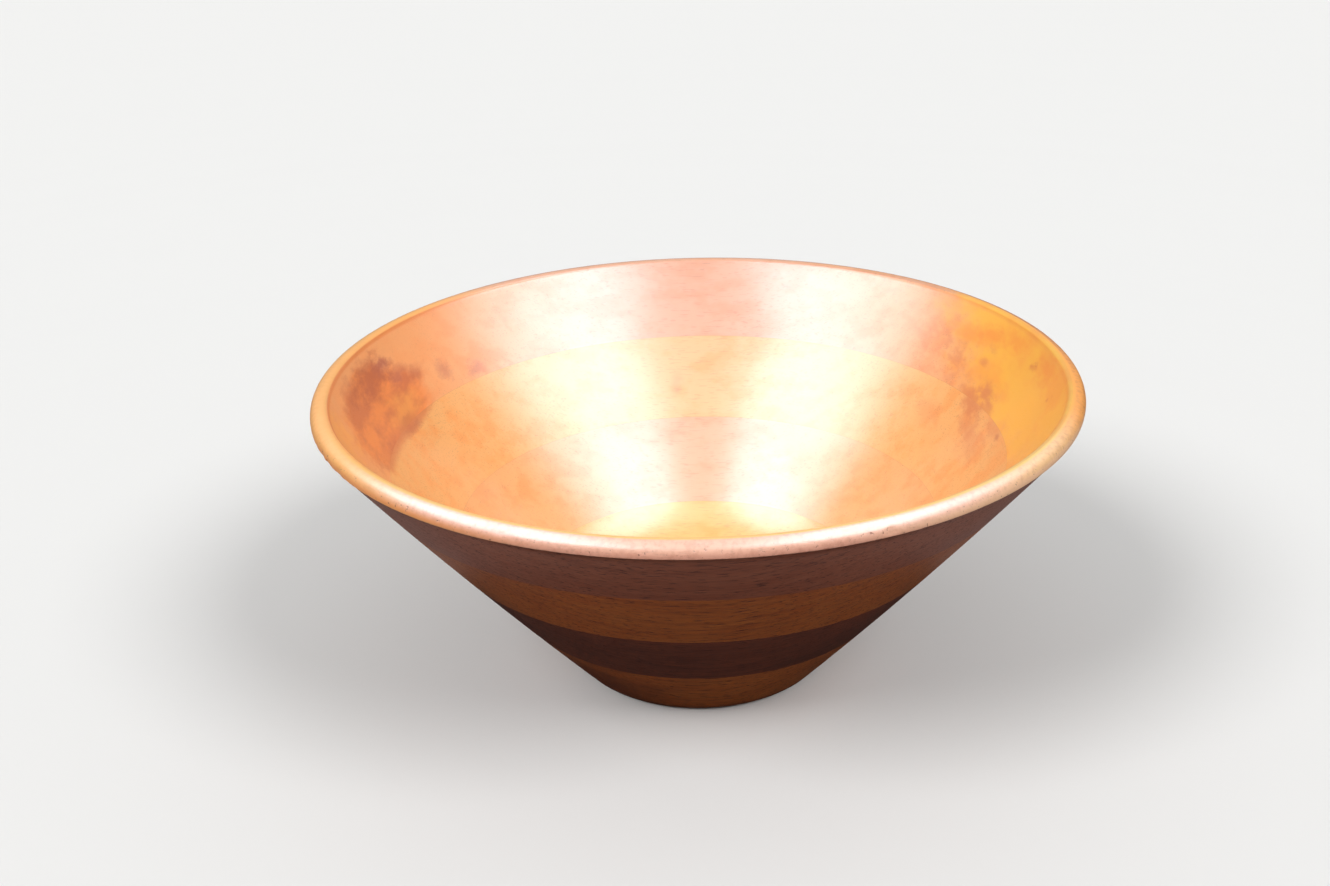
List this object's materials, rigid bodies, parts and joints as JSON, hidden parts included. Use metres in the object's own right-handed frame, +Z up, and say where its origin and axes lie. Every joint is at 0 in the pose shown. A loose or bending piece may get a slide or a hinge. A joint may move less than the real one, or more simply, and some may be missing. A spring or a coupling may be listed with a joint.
{
  "type": "fruit bowl",
  "caption": "Wide conical wooden fruit bowl, turned from stacked boards of light and dark wood, with a rounded bead lip and a small flat foot.",
  "frame": {"origin": "middle of the foot, on the surface the bowl stands on", "axes": "+Z up along the bowl's turning axis, out of its mouth; +X along the grain of the boards, which runs left to right in the picture; the picture is taken from the -Y side"},
  "size_m": [0.305, 0.305, 0.127],
  "materials": {
    "light_wood": "satin lacquer over lighter orange-brown wood",
    "dark_wood": "satin lacquer over dark reddish-brown wood"
  },
  "bodies": {
    "root": {"base_disc": "light_wood", "lower_ring": "dark_wood", "middle_ring": "light_wood", "rim_ring": "dark_wood"}
  },
  "joints": []
}
